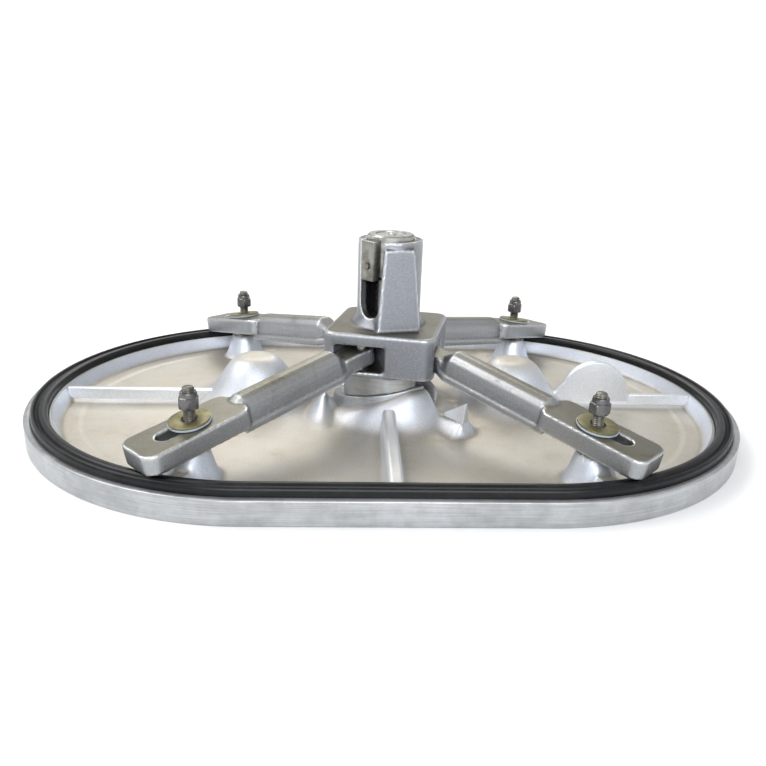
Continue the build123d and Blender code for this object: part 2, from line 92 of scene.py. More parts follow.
class Wire:
    """One socket in a node tree. Arithmetic on it adds Math nodes; node() adds any other node."""

    def __init__(self, tree, socket=None):
        self.tree, self.socket = tree, socket

    def node(self, kind, settings=None, sockets=None, output=0):
        made = self.tree.nodes.new(kind)
        for key, value in (settings or {}).items():
            if key == "stops":
                ramp = made.color_ramp.elements
                ramp[0].position, ramp[1].position = value[0][0], value[-1][0]
                for at, _ in value[1:-1]:
                    ramp.new(at)
                for element, (_, colour) in zip(ramp, value):
                    element.color = colour
            else:
                setattr(made, key, value)
        for key, value in (sockets or {}).items():
            if isinstance(value, Wire):
                self.tree.links.new(value.socket, made.inputs[key])
            else:
                made.inputs[key].default_value = value
        return Wire(self.tree, made.outputs[output])

    def math(self, operation, first, second=0.0):
        return self.node("ShaderNodeMath", {"operation": operation}, {0: first, 1: second})

    def __add__(self, other):
        return self.math("ADD", self, other)

    def __sub__(self, other):
        return self.math("SUBTRACT", self, other)

    def __rsub__(self, other):
        return self.math("SUBTRACT", other, self)

    def __mul__(self, other):
        return self.math("MULTIPLY", self, other)

    def __truediv__(self, other):
        return self.math("DIVIDE", self, other)

    def __pow__(self, other):
        return self.math("POWER", self, other)

    __radd__, __rmul__ = __add__, __mul__

    def clamp(self):
        return self.node("ShaderNodeClamp", None, {0: self})

    def step(self, low, high):
        """0 below low, 1 above high, smooth between them."""
        settings = {"interpolation_type": "SMOOTHSTEP"}
        return self.node("ShaderNodeMapRange", settings, {"Value": self, "From Min": low, "From Max": high})

    def mix(self, first, second):
        """first where this value is 0, second where it is 1; both are colours."""
        settings = {"data_type": "RGBA"}
        return self.node("ShaderNodeMix", settings, {0: self, 6: first, 7: second}, 2)

    def noise(self, scale, detail=3.0, roughness=0.55, stretch=None):
        where = self
        if stretch:
            where = self.node("ShaderNodeMapping", None, {"Vector": self, "Scale": stretch})
        return self.node("ShaderNodeTexNoise", None,
                         {"Vector": where, "Scale": scale, "Detail": detail, "Roughness": roughness})

    def stored(self, name):
        """A number kept on the mesh's own points."""
        return self.node("ShaderNodeAttribute", {"attribute_name": name}, None, "Fac")


def shade(red, green, blue):
    """A display colour, 0 to 255, as the linear colour that a shader takes."""
    linear = [((c / 255 + 0.055) / 1.055) ** 2.4 if c > 10 else c / 255 / 12.92 for c in (red, green, blue)]
    return (*linear, 1.0)


def start_material(name):
    """A new material, its Principled shader, and a Wire on its Object coordinates."""
    material = bpy.data.materials.new(name)
    material.use_nodes = True
    tree = material.node_tree
    shader = tree.nodes["Principled BSDF"]
    return material, shader, Wire(tree).node("ShaderNodeTexCoord", None, None, "Object")


def connect(shader, **wires):
    for key, wire in wires.items():
        name = key.replace("_", " ").title()
        wire.tree.links.new(wire.socket, shader.inputs[name])


def floor_paint():
    material, shader, place = start_material("floor_paint")
    cloud = place.noise(2.0, 2.0)
    x = place.node("ShaderNodeSeparateXYZ", None, {0: place}, 0)
    y = place.node("ShaderNodeSeparateXYZ", None, {0: place}, 1)
    # Painted light: further out the floor glows white through its emission, though it is no lamp.
    far = (x * x + y * y).step(FLOOR_GLOW_REACH[0] ** 2, FLOOR_GLOW_REACH[1] ** 2)
    connect(shader, base_color=cloud.mix(shade(236, 237, 238), shade(243, 243, 243)),
            emission_color=far.mix(shade(0, 0, 0), shade(255, 255, 255)))
    shader.inputs["Roughness"].default_value = 0.9
    shader.inputs["Specular IOR Level"].default_value = 0.1
    shader.inputs["Emission Strength"].default_value = 1.0
    return material


def new_object(name, verts, faces, smooth=True):
    mesh = bpy.data.meshes.new(name)
    mesh.from_pydata([tuple(v) for v in verts], [], faces)
    if smooth:
        mesh.shade_smooth()
    made = bpy.data.objects.new(name, mesh)
    bpy.context.scene.collection.objects.link(made)
    return made


floor_turns = [math.tau * i / FLOOR_SIDES for i in range(FLOOR_SIDES)]
floor_edge = [(FLOOR_REACH * math.cos(a), FLOOR_REACH * math.sin(a), 0) for a in floor_turns]
floor = new_object("studio_floor", floor_edge, [tuple(range(FLOOR_SIDES))], smooth=False)
floor.data.materials.append(floor_paint())

world = bpy.data.worlds.new("studio")
bpy.context.scene.world = world
world.use_nodes = True
sky = Wire(world.node_tree)
height = sky.node("ShaderNodeSeparateXYZ", None,
                  {0: sky.node("ShaderNodeTexCoord", None, None, "Generated")}, 2)
glow = height.node("ShaderNodeValToRGB", {"stops": SKY_STOPS}, {0: height})
seen = sky.node("ShaderNodeLightPath", None, None, "Is Camera Ray")
glow = seen.mix(glow, BACKDROP)
world.node_tree.links.new(glow.socket, world.node_tree.nodes["Background"].inputs["Color"])

# ---- cover casting -----------------------------------------------------------
# The lid: one aluminium sand casting, deck face down. Its rim, land and gasket groove are
# machined; the pan, its ribs, the stud bosses and the two lifting cups are left as cast.
MM = 0.001
RIM_TOP = 20.5
RIM_PROFILE = [  # inset from the outline and height, mm: outer face, land, gasket groove, inner lip
    (1.0, 0.0), (0.3, 0.25), (0.0, 1.0), (0.0, 6.0), (0.0, 13.0), (0.0, 19.5), (0.3, 20.2), (1.0, RIM_TOP),
    (5.0, RIM_TOP), (5.4, 20.3), (5.5, 19.8), (5.5, 13.5), (6.0, 13.0), (19.5, 13.0), (20.0, 13.5),
    (20.0, 19.9), (20.3, 20.35), (20.8, RIM_TOP), (21.8, RIM_TOP), (22.3, 20.35)]
PAN_EDGE = 22.6
PAN_FLOOR = 6.0
WALL_SLOPE = 2.6
CAST_ROOT = 3.0              # what stands in the pan starts here, inside its floor
STEP_INSET, STEP_RISE = 45.0, 0.9       # a faint step in the floor round both ends
FRONT_STATIONS, END_STATIONS = 88, 270
PAN_RINGS = 96
POCKET_SIDES = 72
CUP_X, CUP_Y, CUP_TOP = 124.0, 12.0, 53.0
CUP_REACH, CUP_STEEPNESS = 37.0, 4.4
CUP_HOLLOW_RADIUS, CUP_HOLLOW_TOP = 39.0, 49.0
GRAB_BAR_HALF, GRAB_BAR_TOP = 41.0, 12.0
SPINDLE_RECESS_RADIUS, SPINDLE_RECESS_DEPTH = 22.1, 8.0
BOSS_TOP, BOSS_TOP_RADIUS, BOSS_SLOPE = 32.5, 13.0, 3.3
BOSS_WEB_TOP, BOSS_WEB_HALF = 20.0, 7.0
DRUM_INNER, DRUM_OUTER = 37.0, 50.0
RAMP_START, RAMP_END, RAMP_STOP = 160.0, 300.0, 310.0
RAMP_LOW, RAMP_HIGH = 18.8, 41.7
DRUM_FOOT = 16.0
HILL_AZ = (0, 26, 60, 110, 130, 143, 180)        # degrees, the same in each half turn
HILL_LEDGE = (14, 14, 23, 39, 39.5, 15, 14)      # the mound's height beside the drum there
HILL_REACH = 17.2            # the mound has fallen by half this far from the drum
FLANK_X, FLANK_Y, FLANK_TOP = -58.0, -22.0, 25.0
FIN_AZ, FIN_TOP = 315.0, 37.0
FIN_RUN = (72.0, 96.0)       # the fin climbs outwards between these radii
FIN_WEB_TOP, FIN_WEB_HALF, FIN_WEB_START = 19.0, 5.0, 58.0
RIB_TOP = 20.3
LONG_RIB_END, SHORT_RIB_END = 150.0, 66.0
LONG_RIBS = {-1: 4.0, 1: 7.0}                    # side of the cover: the y that the rib stands on
SHORT_RIBS = {-1: (-0.5, 30.0), 1: (0.0, 26.0)}  # side: the x it stands on, its height at the drum
RIB_FOOT_TOP, RIB_FOOT_SLOPE, RIB_FOOT_REACH = 9.5, 1.6, 12.0
LUG_X, LUG_RADIUS, LUG_CENTRE_Z = 205.0, 33.0, 20.0

cover_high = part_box("cover_casting")[1]
end_radius = cover_high.y / MM
straight_half = (cover_high.x - cover_high.y) / MM
stud_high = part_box("guide_studs")[1]
STUD_RADIUS = 4.75
stud_x, stud_y = stud_high.x / MM - STUD_RADIUS, stud_high.y / MM - STUD_RADIUS


def outline_rays():
    """Foot on the cover's long axis and outward direction, for each station round the outline."""
    along = np.linspace(-straight_half, straight_half, FRONT_STATIONS, endpoint=False)
    turn = np.linspace(0, math.pi, END_STATIONS, endpoint=False)
    flat, one = np.zeros(FRONT_STATIONS), np.ones(FRONT_STATIONS)
    far = np.full(END_STATIONS, straight_half)
    foot = np.concatenate([along, far, -along, -far])
    out_x = np.concatenate([flat, np.sin(turn), flat, -np.sin(turn)])
    out_y = np.concatenate([-one, -np.cos(turn), one, np.cos(turn)])
    return foot, out_x, out_y


def add_rows(shell, rows, columns):
    """Joins closed rows of points, in mm, with quads and returns the points."""
    made = [shell.verts.new(p * MM) for p in rows]
    for row in range(len(rows) // columns - 1):
        a, b = row * columns, (row + 1) * columns
        for i in range(columns):
            j = (i + 1) % columns
            shell.faces.new((made[a + i], made[a + j], made[b + j], made[b + i]))
    return made


def close_shell(shell, distance):
    bmesh.ops.remove_doubles(shell, verts=shell.verts, dist=distance)
    bmesh.ops.dissolve_degenerate(shell, edges=shell.edges, dist=distance)
    bmesh.ops.recalc_face_normals(shell, faces=shell.faces)


def shell_of(rows, columns, distance=0.000005):
    """A closed shell from rows of points of which the last repeats the first."""
    shell = bmesh.new()
    add_rows(shell, rows, columns)
    close_shell(shell, distance)
    return shell


def fillet_top(first, second, radius):
    """The higher of two surfaces, run together over a fillet."""
    share = np.clip(0.5 + 0.5 * (first - second) / radius, 0, 1)
    return second + (first - second) * share + radius * share * (1 - share)


def fillet_under(first, second, radius):
    return -fillet_top(-first, -second, radius)


def hill(x, y):
    """The cast mound round the hub's drum, with its two climbing shoulders."""
    radius, azimuth = np.hypot(x, y), np.degrees(np.arctan2(y, x)) % 180
    ledge = np.interp(azimuth, HILL_AZ, HILL_LEDGE)
    reach = np.clip(radius - DRUM_OUTER, 0, None) / HILL_REACH
    mound = CAST_ROOT + (ledge - CAST_ROOT) / (1 + reach ** 3.0)
    inner = np.where(radius < DRUM_INNER - 1, 28.0, DRUM_FOOT - 1)
    return np.where(radius < DRUM_OUTER - 5, inner, mound)


def pan_floor(x, y, inset):
    """The pan's slightly uneven floor."""
    step = STEP_RISE / (1 + np.exp((inset - STEP_INSET) / 0.7)) * (np.abs(x) > CUP_X - 4)
    return PAN_FLOOR + step + 0.25 * np.sin(x / 41 + 1) * np.sin(y / 33)


def add_boss(z, dx, dy, side_x, side_y):
    """Adds one stud boss and the web that runs from it out to the rim wall."""
    reach = np.hypot(dx, dy)
    flank = BOSS_TOP - (reach - BOSS_TOP_RADIUS) * BOSS_SLOPE
    z = fillet_top(z, fillet_under(flank, np.full_like(reach, BOSS_TOP - 0.2), 1.5), 13.0)
    out = np.array((stud_x - straight_half, stud_y))
    out = out / np.hypot(*out) * (side_x, side_y)
    ahead, aside = dx * out[0] + dy * out[1], np.abs(dx * out[1] - dy * out[0])
    web = BOSS_WEB_TOP - np.clip(aside - BOSS_WEB_HALF, 0, None) * 2.5 - np.clip(-ahead, 0, None) * 3
    return fillet_top(z, web, 8.0)


def add_fin_web(z, x, y):
    """Adds the low web that the fin stands on."""
    turn = math.radians(FIN_AZ)
    ahead = x * math.cos(turn) + y * math.sin(turn)
    aside = np.abs(-x * math.sin(turn) + y * math.cos(turn))
    web = FIN_WEB_TOP - np.clip(aside - FIN_WEB_HALF, 0, None) * 1.2
    web = web - np.clip(ahead - FIN_RUN[1], 0, None) * 2.2
    return np.where(ahead > FIN_WEB_START, fillet_top(z, web, 7.0), z)


def add_rib_foot(z, along, across, side, half):
    """Adds the fillets along the foot of one rib, on its own side of the drum."""
    across = np.abs(across) - half
    foot = RIB_FOOT_TOP - RIB_FOOT_SLOPE * np.clip(across, 0, None)
    foot = np.where(across < RIB_FOOT_REACH, foot, -9)
    return np.where(along * side > 62, fillet_top(z, foot, 7.0), z)


def pan_height(x, y, inset):
    """Height of the pan's as-cast surface."""
    z = fillet_top(RIM_TOP - (inset - PAN_EDGE) * WALL_SLOPE, pan_floor(x, y, inset), 6.0)
    for side_x in (-1, 1):
        reach = np.hypot(x - side_x * CUP_X, y - CUP_Y)
        z = fillet_top(z, CAST_ROOT + (CUP_TOP - 3.5) / (1 + (reach / CUP_REACH) ** CUP_STEEPNESS), 3.5)
        for side_y in (-1, 1):
            z = add_boss(z, x - side_x * stud_x, y - side_y * stud_y, side_x, side_y)
    mound = hill(x, y)
    z = np.where(np.hypot(x, y) < DRUM_OUTER - 5, mound, fillet_top(z, mound, 6.0))
    z = add_fin_web(z, x, y)
    z = fillet_top(z, FLANK_TOP - (np.hypot(x - FLANK_X, (y - FLANK_Y) / 2.2) - 3) * 1.5, 8.0)
    for side, rib_y in LONG_RIBS.items():
        z = add_rib_foot(z, x, y - rib_y, side, 3.5)
    for side, (rib_x, _) in SHORT_RIBS.items():
        z = add_rib_foot(z, y, x - rib_x, side, 5.0)
    return z


def lathe_rows(profile, x, y, columns):
    """Rows of points of a turned surface about an upright axis, from its (radius, height) profile."""
    turn = np.linspace(0, math.tau, columns, endpoint=False)
    around_x, around_y = np.cos(turn), np.sin(turn)
    rows = [np.stack([x + r * around_x, y + r * around_y, np.full(columns, z)], 1) for r, z in profile]
    return np.concatenate(rows)


def cup_profile():
    """Inside of a lifting cup, from the deck face up to its crown."""
    turns = np.linspace(0, 1, 14) * (math.pi / 2)
    return [(CUP_HOLLOW_RADIUS * math.cos(a) ** 0.62 + 0.01, CUP_HOLLOW_TOP * math.sin(a) ** 1.1)
            for a in turns]


def cast_body():
    """The casting's closed shell: rim, pan, deck face, lifting cups and spindle recess."""
    foot, out_x, out_y = outline_rays()
    count = len(foot)
    insets = [p[0] for p in RIM_PROFILE]
    near = np.arange(PAN_EDGE, PAN_EDGE + 8.5, 1.0)
    insets += list(near) + list(np.linspace(near[-1] + 1.4, end_radius, PAN_RINGS))
    rows = []
    for index, inset in enumerate(insets):
        x, y = foot + out_x * (end_radius - inset), out_y * (end_radius - inset)
        if index < len(RIM_PROFILE):
            z = np.full(count, RIM_PROFILE[index][1])
        else:
            z = pan_height(x, y, np.full(count, inset))
        rows.append(np.stack([x, y, z], 1))
    body = bmesh.new()
    points = add_rows(body, np.concatenate(rows), count)
    deck_edges = [body.edges.get((points[i], points[(i + 1) % count])) for i in range(count)]
    recess = [(SPINDLE_RECESS_RADIUS, 0), (SPINDLE_RECESS_RADIUS, SPINDLE_RECESS_DEPTH),
              (0.01, SPINDLE_RECESS_DEPTH)]
    pockets = [(cup_profile(), side * CUP_X, CUP_Y) for side in (-1, 1)] + [(recess, 0, 0)]
    for profile, x, y in pockets:
        ring = add_rows(body, lathe_rows(profile, x, y, POCKET_SIDES), POCKET_SIDES)
        deck_edges += [body.edges.get((ring[i], ring[(i + 1) % POCKET_SIDES])) for i in range(POCKET_SIDES)]
    bmesh.ops.triangle_fill(body, edges=deck_edges, use_beauty=True)
    close_shell(body, 0.00002)
    return body


def drafted_block(start, end, half_top, half_foot, top_start, top_end, rounding):
    """A straight rib with drafted sides and rounded top edges, standing in the pan's floor."""
    run = Vector((end[0] - start[0], end[1] - start[1], 0))
    side = Vector((-run.y, run.x, 0)).normalized()
    block = bmesh.new()
    corners = []
    for (x, y), top in ((start, top_start), (end, top_end)):
        for half, z in ((half_foot, CAST_ROOT), (half_top, top)):
            corners += [block.verts.new((Vector((x, y, z)) + side * half * s) * MM) for s in (-1, 1)]
    a0, a1, a2, a3, b0, b1, b2, b3 = corners
    for face in ((a0, a1, a3, a2), (b1, b0, b2, b3), (a1, b1, b3, a3),
                 (b0, a0, a2, b2), (a2, a3, b3, b2), (a1, a0, b0, b1)):
        block.faces.new(face)
    bmesh.ops.recalc_face_normals(block, faces=block.faces)
    upper = [e for e in block.edges if max(v.co.z for v in e.verts) > (CAST_ROOT + 1) * MM]
    bmesh.ops.bevel(block, geom=upper, offset=rounding * MM, segments=4, profile=0.5, affect="EDGES")
    return block


def upright_plate(outline, y0, y1, rounding):
    """A flat upright lug of this (x, z) outline, between two y planes, with rounded edges."""
    plate = bmesh.new()
    front = [plate.verts.new((x * MM, y0 * MM, z * MM)) for x, z in outline]
    back = [plate.verts.new((x * MM, y1 * MM, z * MM)) for x, z in outline]
    plate.faces.new(front)
    plate.faces.new(back[::-1])
    for i in range(len(outline)):
        j = (i + 1) % len(outline)
        plate.faces.new((front[j], front[i], back[i], back[j]))
    bmesh.ops.recalc_face_normals(plate, faces=plate.faces)
    edges = [e for f in plate.faces if len(f.verts) > 4 for e in f.edges]
    bmesh.ops.bevel(plate, geom=edges, offset=rounding * MM, segments=3, profile=0.5, affect="EDGES")
    return plate


def lug_outline():
    """Round lug on the right-hand rib: a disc that runs into the rib through hollow fillets."""
    disc = [(LUG_X + LUG_RADIUS * math.cos(a), LUG_CENTRE_Z + LUG_RADIUS * math.sin(a))
            for a in np.radians(np.linspace(6, 160, 30))]
    hollow = [(LUG_X - LUG_RADIUS - 2 - 9 * (1 - math.cos(a)), LUG_CENTRE_Z + 9 * (1 - math.sin(a)))
              for a in np.radians(np.linspace(15, 90, 8))]
    left, right = LUG_X - LUG_RADIUS - 16, LUG_X + LUG_RADIUS + 3
    foot = [(left, LUG_CENTRE_Z), (left, CAST_ROOT), (right, CAST_ROOT), (right, LUG_CENTRE_Z)]
    return disc + hollow + foot


def hub_drum():
    """The machined ring that the hub turns on: two ramps, each with a landing at its upper end."""
    columns = 180
    azimuth = np.arange(columns) * 360 / columns
    fold = (azimuth - RAMP_START) % 180
    length = RAMP_END - RAMP_START
    top = np.where(fold <= length, RAMP_LOW + (RAMP_HIGH - RAMP_LOW) * fold / length, RAMP_HIGH)
    top = np.where(fold > RAMP_STOP - RAMP_START, DRUM_FOOT, top)
    a = np.radians(azimuth)
    rows = []
    for radius, drop in ((DRUM_OUTER, None), (DRUM_OUTER, 1.0), (DRUM_OUTER - 0.4, 0.25),
                         (DRUM_OUTER - 1.1, 0.0), (DRUM_INNER + 0.8, 0.0), (DRUM_INNER, 0.8),
                         (DRUM_INNER, None)):
        z = np.full(columns, 9.0) if drop is None else top - drop
        rows.append(np.stack([radius * np.cos(a), radius * np.sin(a), z], 1))
    rows.append(rows[0])
    return shell_of(np.concatenate(rows), columns)


def gathered(name, shells):
    """One object from several bmesh shells."""
    whole = bmesh.new()
    for shell in shells:
        part = bpy.data.meshes.new("shell")
        shell.to_mesh(part)
        whole.from_mesh(part)
        shell.free()
        bpy.data.meshes.remove(part)
    mesh = bpy.data.meshes.new(name)
    whole.to_mesh(mesh)
    whole.free()
    mesh.shade_smooth()
    mesh.set_sharp_from_angle(angle=math.radians(50))
    made = bpy.data.objects.new(name, mesh)
    bpy.context.scene.collection.objects.link(made)
    return made


def points_of(mesh, field="co"):
    values = np.empty(len(mesh.vertices) * 3)
    mesh.vertices.foreach_get(field, values)
    return values.reshape(-1, 3)


def store(mesh, name, values):
    layer = mesh.attributes.new(name, "FLOAT", "POINT")
    layer.data.foreach_set("value", np.asarray(values, np.float32))


def weather(obj, sharpness, spread, machined):
    """Keeps on each point how convex it is (edges that are worn and also take a painted highlight), how
    grimy (hollow), how level and how machined it is.
    """
    mesh = obj.data
    count = len(mesh.vertices)
    place, normal = points_of(mesh), points_of(mesh, "normal")
    ends = np.empty(len(mesh.edges) * 2, int)
    mesh.edges.foreach_get("vertices", ends)
    a, b = ends.reshape(-1, 2).T
    step = place[b] - place[a]
    length = np.maximum(np.einsum("ij,ij->i", step, step), 1e-8)
    bend = np.bincount(a, -2 * np.einsum("ij,ij->i", normal[a], step) / length, count)
    bend += np.bincount(b, 2 * np.einsum("ij,ij->i", normal[b], step) / length, count)
    links = np.maximum(np.bincount(a, None, count) + np.bincount(b, None, count), 1)
    bend = np.clip(bend / links * sharpness, -1.5, 1.5)
    for _ in range(spread):
        around = np.bincount(a, bend[b], count) + np.bincount(b, bend[a], count)
        bend = 0.4 * bend + 0.6 * around / links
    store(mesh, "worn", np.clip(bend, 0, 1))
    store(mesh, "grimy", np.clip(-bend, 0, 1))
    store(mesh, "level", np.clip(normal[:, 2], 0, 1))
    store(mesh, "machined", machined(place / MM))


def cast_aluminium(name, side, top, grime, roughness, metallic, relief=0.4, stained=0.45, flatness=5.0):
    """Sand-cast aluminium: a mottled skin with painted light by facing, sand grain with painted shadow, a
    few gas pits, grime in the hollows, edges bright with wear and a painted highlight.
    """
    material, shader, place = start_material(name)
    worn, grimy, level, machined = (place.stored(n) for n in ("worn", "grimy", "level", "machined"))
    cloud = place.noise(16, 4, 0.6)
    blotch = place.noise(75, 4, 0.65)
    grain = place.noise(620, 3, 0.6)
    sand = place.noise(1900, 2, 0.5)
    turned = place.noise(1.0, 3, 0.6, (22, 22, 1500))
    # Painted light and shade by facing: upright faces take the lighter side colour, up-facing faces the
    # darker top colour; the cloud adds a random mottle.
    skin = (level ** flatness * 0.95 + (cloud - 0.5) * 0.7).clamp()
    colour = skin.mix(side, top)
    stain = (blotch * 0.6 + cloud * 0.4).step(0.52, 0.68) * level
    colour = (stain * stained).mix(colour, grime)
    colour = (grimy * 1.2 + (blotch - 0.5) * 0.5 * grimy).clamp().mix(colour, grime)
    # Convex edges painted near white: partly real rubbing wear, partly a painted highlight where the edges
    # catch the light; the grain breaks it into sparkle.
    wear_glint_mask = (worn * 1.3 - 0.12 + (grain - 0.5) * 0.5).clamp()
    rubbed_edge_glint, sand_shadow = shade(226, 228, 230), shade(92, 92, 88)
    colour = wear_glint_mask.mix(colour, rubbed_edge_glint)
    colour = (grain.step(0.36, 0.62) * relief * 0.55).mix(colour, sand_shadow)
    cells, chosen = (place.node("ShaderNodeTexVoronoi", None, {"Vector": place, "Scale": 42.0}, output)
                     for output in (0, 1))
    pit = (1 - cells.step(0.018, 0.042)) * chosen.step(0.62, 0.66) * (1 - machined)
    colour = (pit * 0.9).mix(colour, shade(24, 22, 20))
    streaks = (turned * 0.4 + blotch * 0.3 + cloud * 0.3).step(0.3, 0.7)
    colour = machined.mix(colour, streaks.mix(shade(148, 150, 150), shade(198, 200, 203)))
    rough = roughness + (blotch - 0.5) * 0.18 + grimy * 0.12 - worn * 0.14
    rough = rough * (1 - machined) + machined * (0.33 + (turned - 0.5) * 0.12)
    height = (grain * 0.55 + sand * 0.45 + blotch * 0.6) * (1 - machined * 0.9)
    height = height + turned * machined * 0.1 - pit * 1.2
    bump = place.node("ShaderNodeBump", None, {"Strength": relief, "Distance": 0.0006, "Height": height})
    connect(shader, base_color=colour, roughness=rough.clamp(), normal=bump)
    shader.inputs["Metallic"].default_value = metallic
    return material


front_wall = end_radius - PAN_EDGE - 1
side_wall = straight_half + front_wall
long_ribs = [drafted_block((side * side_wall, y), (side * LONG_RIB_END, y), half_top=2.6, half_foot=3.6,
                           top_start=RIB_TOP, top_end=RIB_TOP, rounding=1.6)
             for side, y in LONG_RIBS.items()]
short_ribs = [drafted_block((x, side * front_wall), (x, side * SHORT_RIB_END), half_top=5.4, half_foot=8.2,
                            top_start=RIB_TOP, top_end=top, rounding=3.0)
              for side, (x, top) in SHORT_RIBS.items()]
lug = upright_plate(lug_outline(), LONG_RIBS[1] - 3, LONG_RIBS[1] + 3, rounding=1.4)
fin_ends = [(r * math.cos(math.radians(FIN_AZ)), r * math.sin(math.radians(FIN_AZ))) for r in FIN_RUN]
fin = drafted_block(*fin_ends, half_top=1.3, half_foot=7.5, top_start=22, top_end=FIN_TOP, rounding=1.0)
grab_bars = [drafted_block((side * CUP_X - GRAB_BAR_HALF, CUP_Y), (side * CUP_X + GRAB_BAR_HALF, CUP_Y),
                           half_top=4.0, half_foot=4.6, top_start=GRAB_BAR_TOP, top_end=GRAB_BAR_TOP,
                           rounding=1.8)
             for side in (-1, 1)]
cover = gathered("cover_casting_skin", [cast_body(), hub_drum(), *long_ribs, *short_ribs, lug, fin,
                                        *grab_bars])


def machined_cover(place):
    x, y, z = place.T
    inset = end_radius - np.hypot(np.clip(np.abs(x) - straight_half, 0, None), y)
    drum = (np.hypot(x, y) < DRUM_OUTER + 0.02) & (np.hypot(x, y) > DRUM_INNER - 0.5) & (z > 5)
    return (inset < PAN_EDGE - 0.1) | drum | (z < 0.01)


weather(cover, sharpness=1 / 260, spread=2, machined=machined_cover)
# Painted light: the bluish-white side colour stands for light on the pan's upright walls; the top colour is
# the darker tone painted on up-facing faces.
cover.data.materials.append(cast_aluminium(
    "cast_cover_finish", side=shade(218, 224, 235), top=shade(188, 182, 170), grime=shade(128, 118, 98),
    roughness=0.48, metallic=0.72, relief=0.2, stained=0.16, flatness=3.0))
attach(cover, "cover")
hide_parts("cover_casting")

# ---- rim gasket --------------------------------------------------------------
# One endless black rubber extrusion, pressed into the groove of the rim. It has a narrow
# outer bead and a broad inner one that seals against the hatch frame.
GASKET_PROFILE = [(5.6, 13.1), (5.6, 22.0), (5.8, 24.6), (6.4, 26.2), (7.4, 26.9), (8.4, 26.6), (9.0, 25.6),
                  (9.3, 24.4), (10.4, 23.6), (11.6, 24.0), (12.2, 25.2), (13.2, 26.3), (15.0, 26.95),
                  (17.0, 26.9), (18.6, 26.2), (19.5, 25.0), (19.85, 23.2), (19.85, 13.1)]


def swept_ring(name, profile):
    """A closed profile of (inset, height) carried round the cover's outline."""
    foot, out_x, out_y = outline_rays()
    rows = [np.stack([foot + out_x * (end_radius - inset), out_y * (end_radius - inset),
                      np.full(len(foot), z)], 1) for inset, z in profile + profile[:1]]
    return gathered(name, [shell_of(np.concatenate(rows), len(foot))])


def gasket_rubber():
    """Black moulded rubber with patches of grey dust and talc, and fine specks."""
    material, shader, place = start_material("gasket_rubber_finish")
    dust = place.noise(45, 5, 0.7)
    speck = place.noise(900, 2, 0.6)
    film = dust.step(0.42, 0.75) * 0.5 + speck.step(0.6, 0.75) * 0.25
    connect(shader, base_color=film.clamp().mix(shade(10, 11, 13), shade(40, 42, 46)),
            roughness=0.3 + film * 0.3,
            normal=place.node("ShaderNodeBump", None, {"Strength": 0.25, "Distance": 0.0005,
                                                       "Height": speck * 0.5 + dust}))
    shader.inputs["Specular IOR Level"].default_value = 0.32
    return material


gasket = swept_ring("rim_gasket", GASKET_PROFILE)
gasket.data.materials.append(gasket_rubber())
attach(gasket, "cover")
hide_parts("gasket")

# ---- hub ---------------------------------------------------------------------
# Aluminium sand casting: a square block with four arm pockets, a slotted tower with two
# flat-faced buttresses, and two machined feet under it that run on the drum's ramps.
def merged_copy(node, name):
    """A copy of a CAD node with its loose triangles joined."""
    shell = bmesh.new()
    shell.from_mesh(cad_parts[node].data)
    bmesh.ops.remove_doubles(shell, verts=shell.verts, dist=0.000004)
    mesh = bpy.data.meshes.new(name)
    shell.to_mesh(mesh)
    shell.free()
    for layer in ("custom_normal", "sharp_face", "sharp_edge"):
        if layer in mesh.attributes:
            mesh.attributes.remove(mesh.attributes[layer])
    mesh.materials.clear()
    made = bpy.data.objects.new(name, mesh)
    bpy.context.scene.collection.objects.link(made)
    return made


def settle(obj):
    """Applies an object's modifiers to its own mesh."""
    depsgraph = bpy.context.evaluated_depsgraph_get()
    mesh = bpy.data.meshes.new_from_object(obj.evaluated_get(depsgraph))
    mesh.name = obj.name
    obj.modifiers.clear()
    obj.data = mesh
    mesh.shade_smooth()
    return obj


def cast_copy(node, name, grain, passes):
    """A CAD node with the soft corners of a sand casting."""
    made = merged_copy(node, name)
    remesh = made.modifiers.new("skin", "REMESH")
    remesh.mode, remesh.voxel_size = "VOXEL", grain
    soften = made.modifiers.new("soften", "SMOOTH")
    soften.factor, soften.iterations = 0.5, passes
    return settle(made)


HUB_BLOCK_FOOT = 51.5
hub = cast_copy("hub", "hub_casting", grain=0.0012, passes=7)
weather(hub, sharpness=1 / 420, spread=2, machined=lambda place: place[:, 2] < HUB_BLOCK_FOOT)
# Painted light and shade: the grey side colour goes on upright faces, the darker olive top colour on
# up-facing ones.
hub.data.materials.append(cast_aluminium(
    "cast_hub_finish", side=shade(152, 155, 162), top=shade(100, 97, 82), grime=shade(74, 69, 56),
    roughness=0.38, metallic=0.95))
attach(hub, "hub")
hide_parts("hub")

# ---- dogging arms ------------------------------------------------------------
# Four equal aluminium castings: an eye in the hub, a flanged bar, and a flat slotted
# paddle that slides out over its guide stud and under the hatch frame.
# Painted light and shade: the grey side colour goes on upright faces, the darker olive top colour on
# up-facing ones.
arm_finish = cast_aluminium("cast_arm_finish", side=shade(172, 174, 177), top=shade(126, 122, 106),
                            grime=shade(76, 72, 58), roughness=0.37, metallic=0.95)
ARM_PLACES = ("front_left", "front_right", "back_right", "back_left")
for where in ARM_PLACES:
    arm = cast_copy("arm_" + where, "dogging_arm_" + where, grain=0.0011, passes=6)
    weather(arm, sharpness=1 / 420, spread=2, machined=lambda place: np.zeros(len(place)))
    arm.data.materials.append(arm_finish)
    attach(arm, "arm_" + where)
    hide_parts("arm_" + where)

# ---- guide studs -------------------------------------------------------------
# Four stainless studs screwed into the cover's bosses, threaded over all their free length.
THREAD_PITCH, THREAD_DEPTH, THREAD_FOOT = 1.5, 0.85, 30.0


